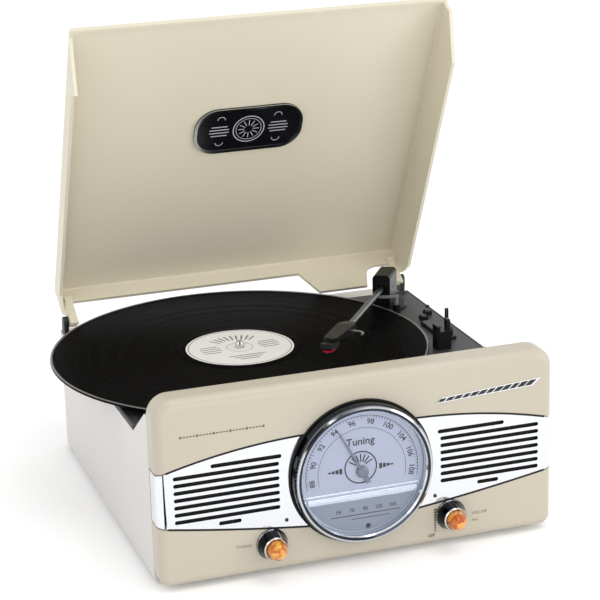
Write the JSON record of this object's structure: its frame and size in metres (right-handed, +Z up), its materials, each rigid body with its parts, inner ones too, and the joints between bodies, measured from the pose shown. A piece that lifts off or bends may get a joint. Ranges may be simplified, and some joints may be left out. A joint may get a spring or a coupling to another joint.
{
  "type": "record player with radio",
  "caption": "Retro belt-drive record player and radio: open hinged lid, large record on the platter, tonearm with cue lever, front dial between chrome speaker grilles",
  "frame": {"origin": "under the middle of the whole object's box, on the floor plane the feet stand on", "axes": "+X to the right seen from the front, +Y to the rear, +Z up"},
  "size_m": [0.3393, 0.3522, 0.3772],
  "materials": {
    "cabinet_beige": "smooth moulded plastic",
    "panel_beige": "smooth moulded plastic",
    "lid_beige": "smooth moulded plastic",
    "black_plastic": "fine texture",
    "dark_steel": "blackened",
    "chrome_trim": "bright plated plastic",
    "cloth_black": "woven",
    "silver_face": "satin",
    "clear_lens": "clear",
    "pointer_dark": "smooth",
    "stylus_red": "smooth",
    "amber": "clear faceted",
    "aluminium": "satin",
    "steel": "brushed",
    "brass": "turned",
    "rubber": "matt",
    "vinyl": "pressed, grooved",
    "label_white": "paper",
    "board_green": "circuit board",
    "cone_black": "paper cone and pressed basket",
    "grey_plastic": "fine texture"
  },
  "bodies": {
    "case": {"arm_base": "grey_plastic", "arm_rest": "black_plastic", "bottom_cover": "black_plastic", "cabinet": "cabinet_beige", "case_screws": "dark_steel", "control_bodies": "steel", "deck": "black_plastic", "dial_bezel": "chrome_trim", "dial_cord": "cloth_black", "dial_face": "silver_face", "dial_lens": "clear_lens", "drive_belt": "rubber", "feet": "rubber", "front_panel": "panel_beige", "grille_cloths": "cloth_black", "grille_left": "chrome_trim", "grille_right": "chrome_trim", "hinge_brackets": "black_plastic", "hinge_pins": "steel", "indicator_lamp": "stylus_red", "lever_mount": "grey_plastic", "lid_pads": "rubber", "lift_guide": "black_plastic", "line_sockets": "brass", "main_board": "board_green", "motor": "steel", "socket_plate": "black_plastic", "speakers": "cone_black", "spindle_bearing": "brass", "supply_inlet": "black_plastic", "switch_bodies": "black_plastic", "transformer": "steel"},
    "lid": {"lid": "lid_beige", "lid_plaque": "black_plastic", "lid_plaque_rim": "chrome_trim"},
    "platter": {"platter": "aluminium", "platter_mat": "rubber", "spindle": "steel"},
    "record": {"record": "vinyl", "record_labels": "label_white"},
    "pulley": {"motor_pulley": "brass"},
    "tower": {"arm_yoke": "black_plastic"},
    "arm": {"arm_axle": "steel", "arm_carrier": "black_plastic", "counterweight": "steel", "arm_tube": "aluminium", "headshell": "black_plastic", "cartridge": "grey_plastic", "stylus": "stylus_red", "finger_lift": "aluminium"},
    "cue_lever": {"cue_lever": "black_plastic"},
    "lift": {"lift_platform": "grey_plastic"},
    "tuning": {"tuning_knob": "chrome_trim", "tuning_knob_jewel": "amber"},
    "volume": {"volume_knob": "chrome_trim", "volume_knob_jewel": "amber"},
    "pointer": {"dial_pointer": "pointer_dark", "dial_pulley": "black_plastic"},
    "speed_switch": {"speed_switch": "black_plastic"},
    "stop_switch": {"stop_switch": "black_plastic"}
  },
  "joints": [
    {"name": "lid_hinge", "type": "hinge", "parent": "case", "child": "lid", "pos_m": [0.01615, 0.14535, 0.115], "axis": [-1, 0, 0], "range_deg": [-62.7, 0]},
    {"name": "platter_spin", "type": "hinge", "parent": "case", "child": "platter", "pos_m": [-0.01885, 0.02535, 0.105], "axis": [0, 0, 1], "continuous": true},
    {"name": "motor_spin", "type": "hinge", "parent": "case", "child": "pulley", "pos_m": [-0.06117, 0.0836, 0.0998], "axis": [0, 0, 1], "continuous": true},
    {"name": "record_lift", "type": "slide", "parent": "platter", "child": "record", "axis": [0, 0, 1], "range_m": [0, 0.006]},
    {"name": "arm_swing", "type": "hinge", "parent": "case", "child": "tower", "pos_m": [0.13415, 0.10135, 0.1255], "axis": [0, 0, 1], "range_deg": [-10.5, 34.68]},
    {"name": "arm_lift", "type": "hinge", "parent": "tower", "child": "arm", "pos_m": [0.13415, 0.10135, 0.1255], "axis": [-0.8339, 0.5519, 0], "range_deg": [-2.7, 0]},
    {"name": "cue_lever_turn", "type": "hinge", "parent": "case", "child": "cue_lever", "pos_m": [0.15015, 0.00235, 0.1135], "axis": [-1, 0, 0], "range_deg": [-60, 0]},
    {"name": "lift_slide", "type": "slide", "parent": "case", "child": "lift", "axis": [0, 0, 1], "range_m": [-0.0016, 0]},
    {"name": "tuning_turn", "type": "hinge", "parent": "case", "child": "tuning", "pos_m": [-0.05385, -0.15565, 0.0265], "axis": [0, -1, 0], "range_deg": [-315, 315]},
    {"name": "pointer_turn", "type": "hinge", "parent": "case", "child": "pointer", "pos_m": [0.01615, -0.15565, 0.0725], "axis": [0, -1, 0], "range_deg": [-90, 90]},
    {"name": "volume_turn", "type": "hinge", "parent": "case", "child": "volume", "pos_m": [0.08615, -0.15565, 0.0265], "axis": [0, -1, 0], "range_deg": [-150, 150]},
    {"name": "speed_slide", "type": "slide", "parent": "case", "child": "speed_switch", "axis": [0, 1, 0], "range_m": [0, 0.008]},
    {"name": "stop_slide", "type": "slide", "parent": "case", "child": "stop_switch", "axis": [0, 1, 0], "range_m": [0, 0.005]}
  ],
  "couplings": [
    {"joint": "motor_spin", "follows": "platter_spin", "ratio": 6.4286},
    {"joint": "cue_lever_turn", "follows": "arm_lift", "ratio": 22.198},
    {"joint": "lift_slide", "follows": "arm_lift", "m_per_rad": 0.033915},
    {"joint": "pointer_turn", "follows": "tuning_turn", "ratio": 0.28571}
  ]
}
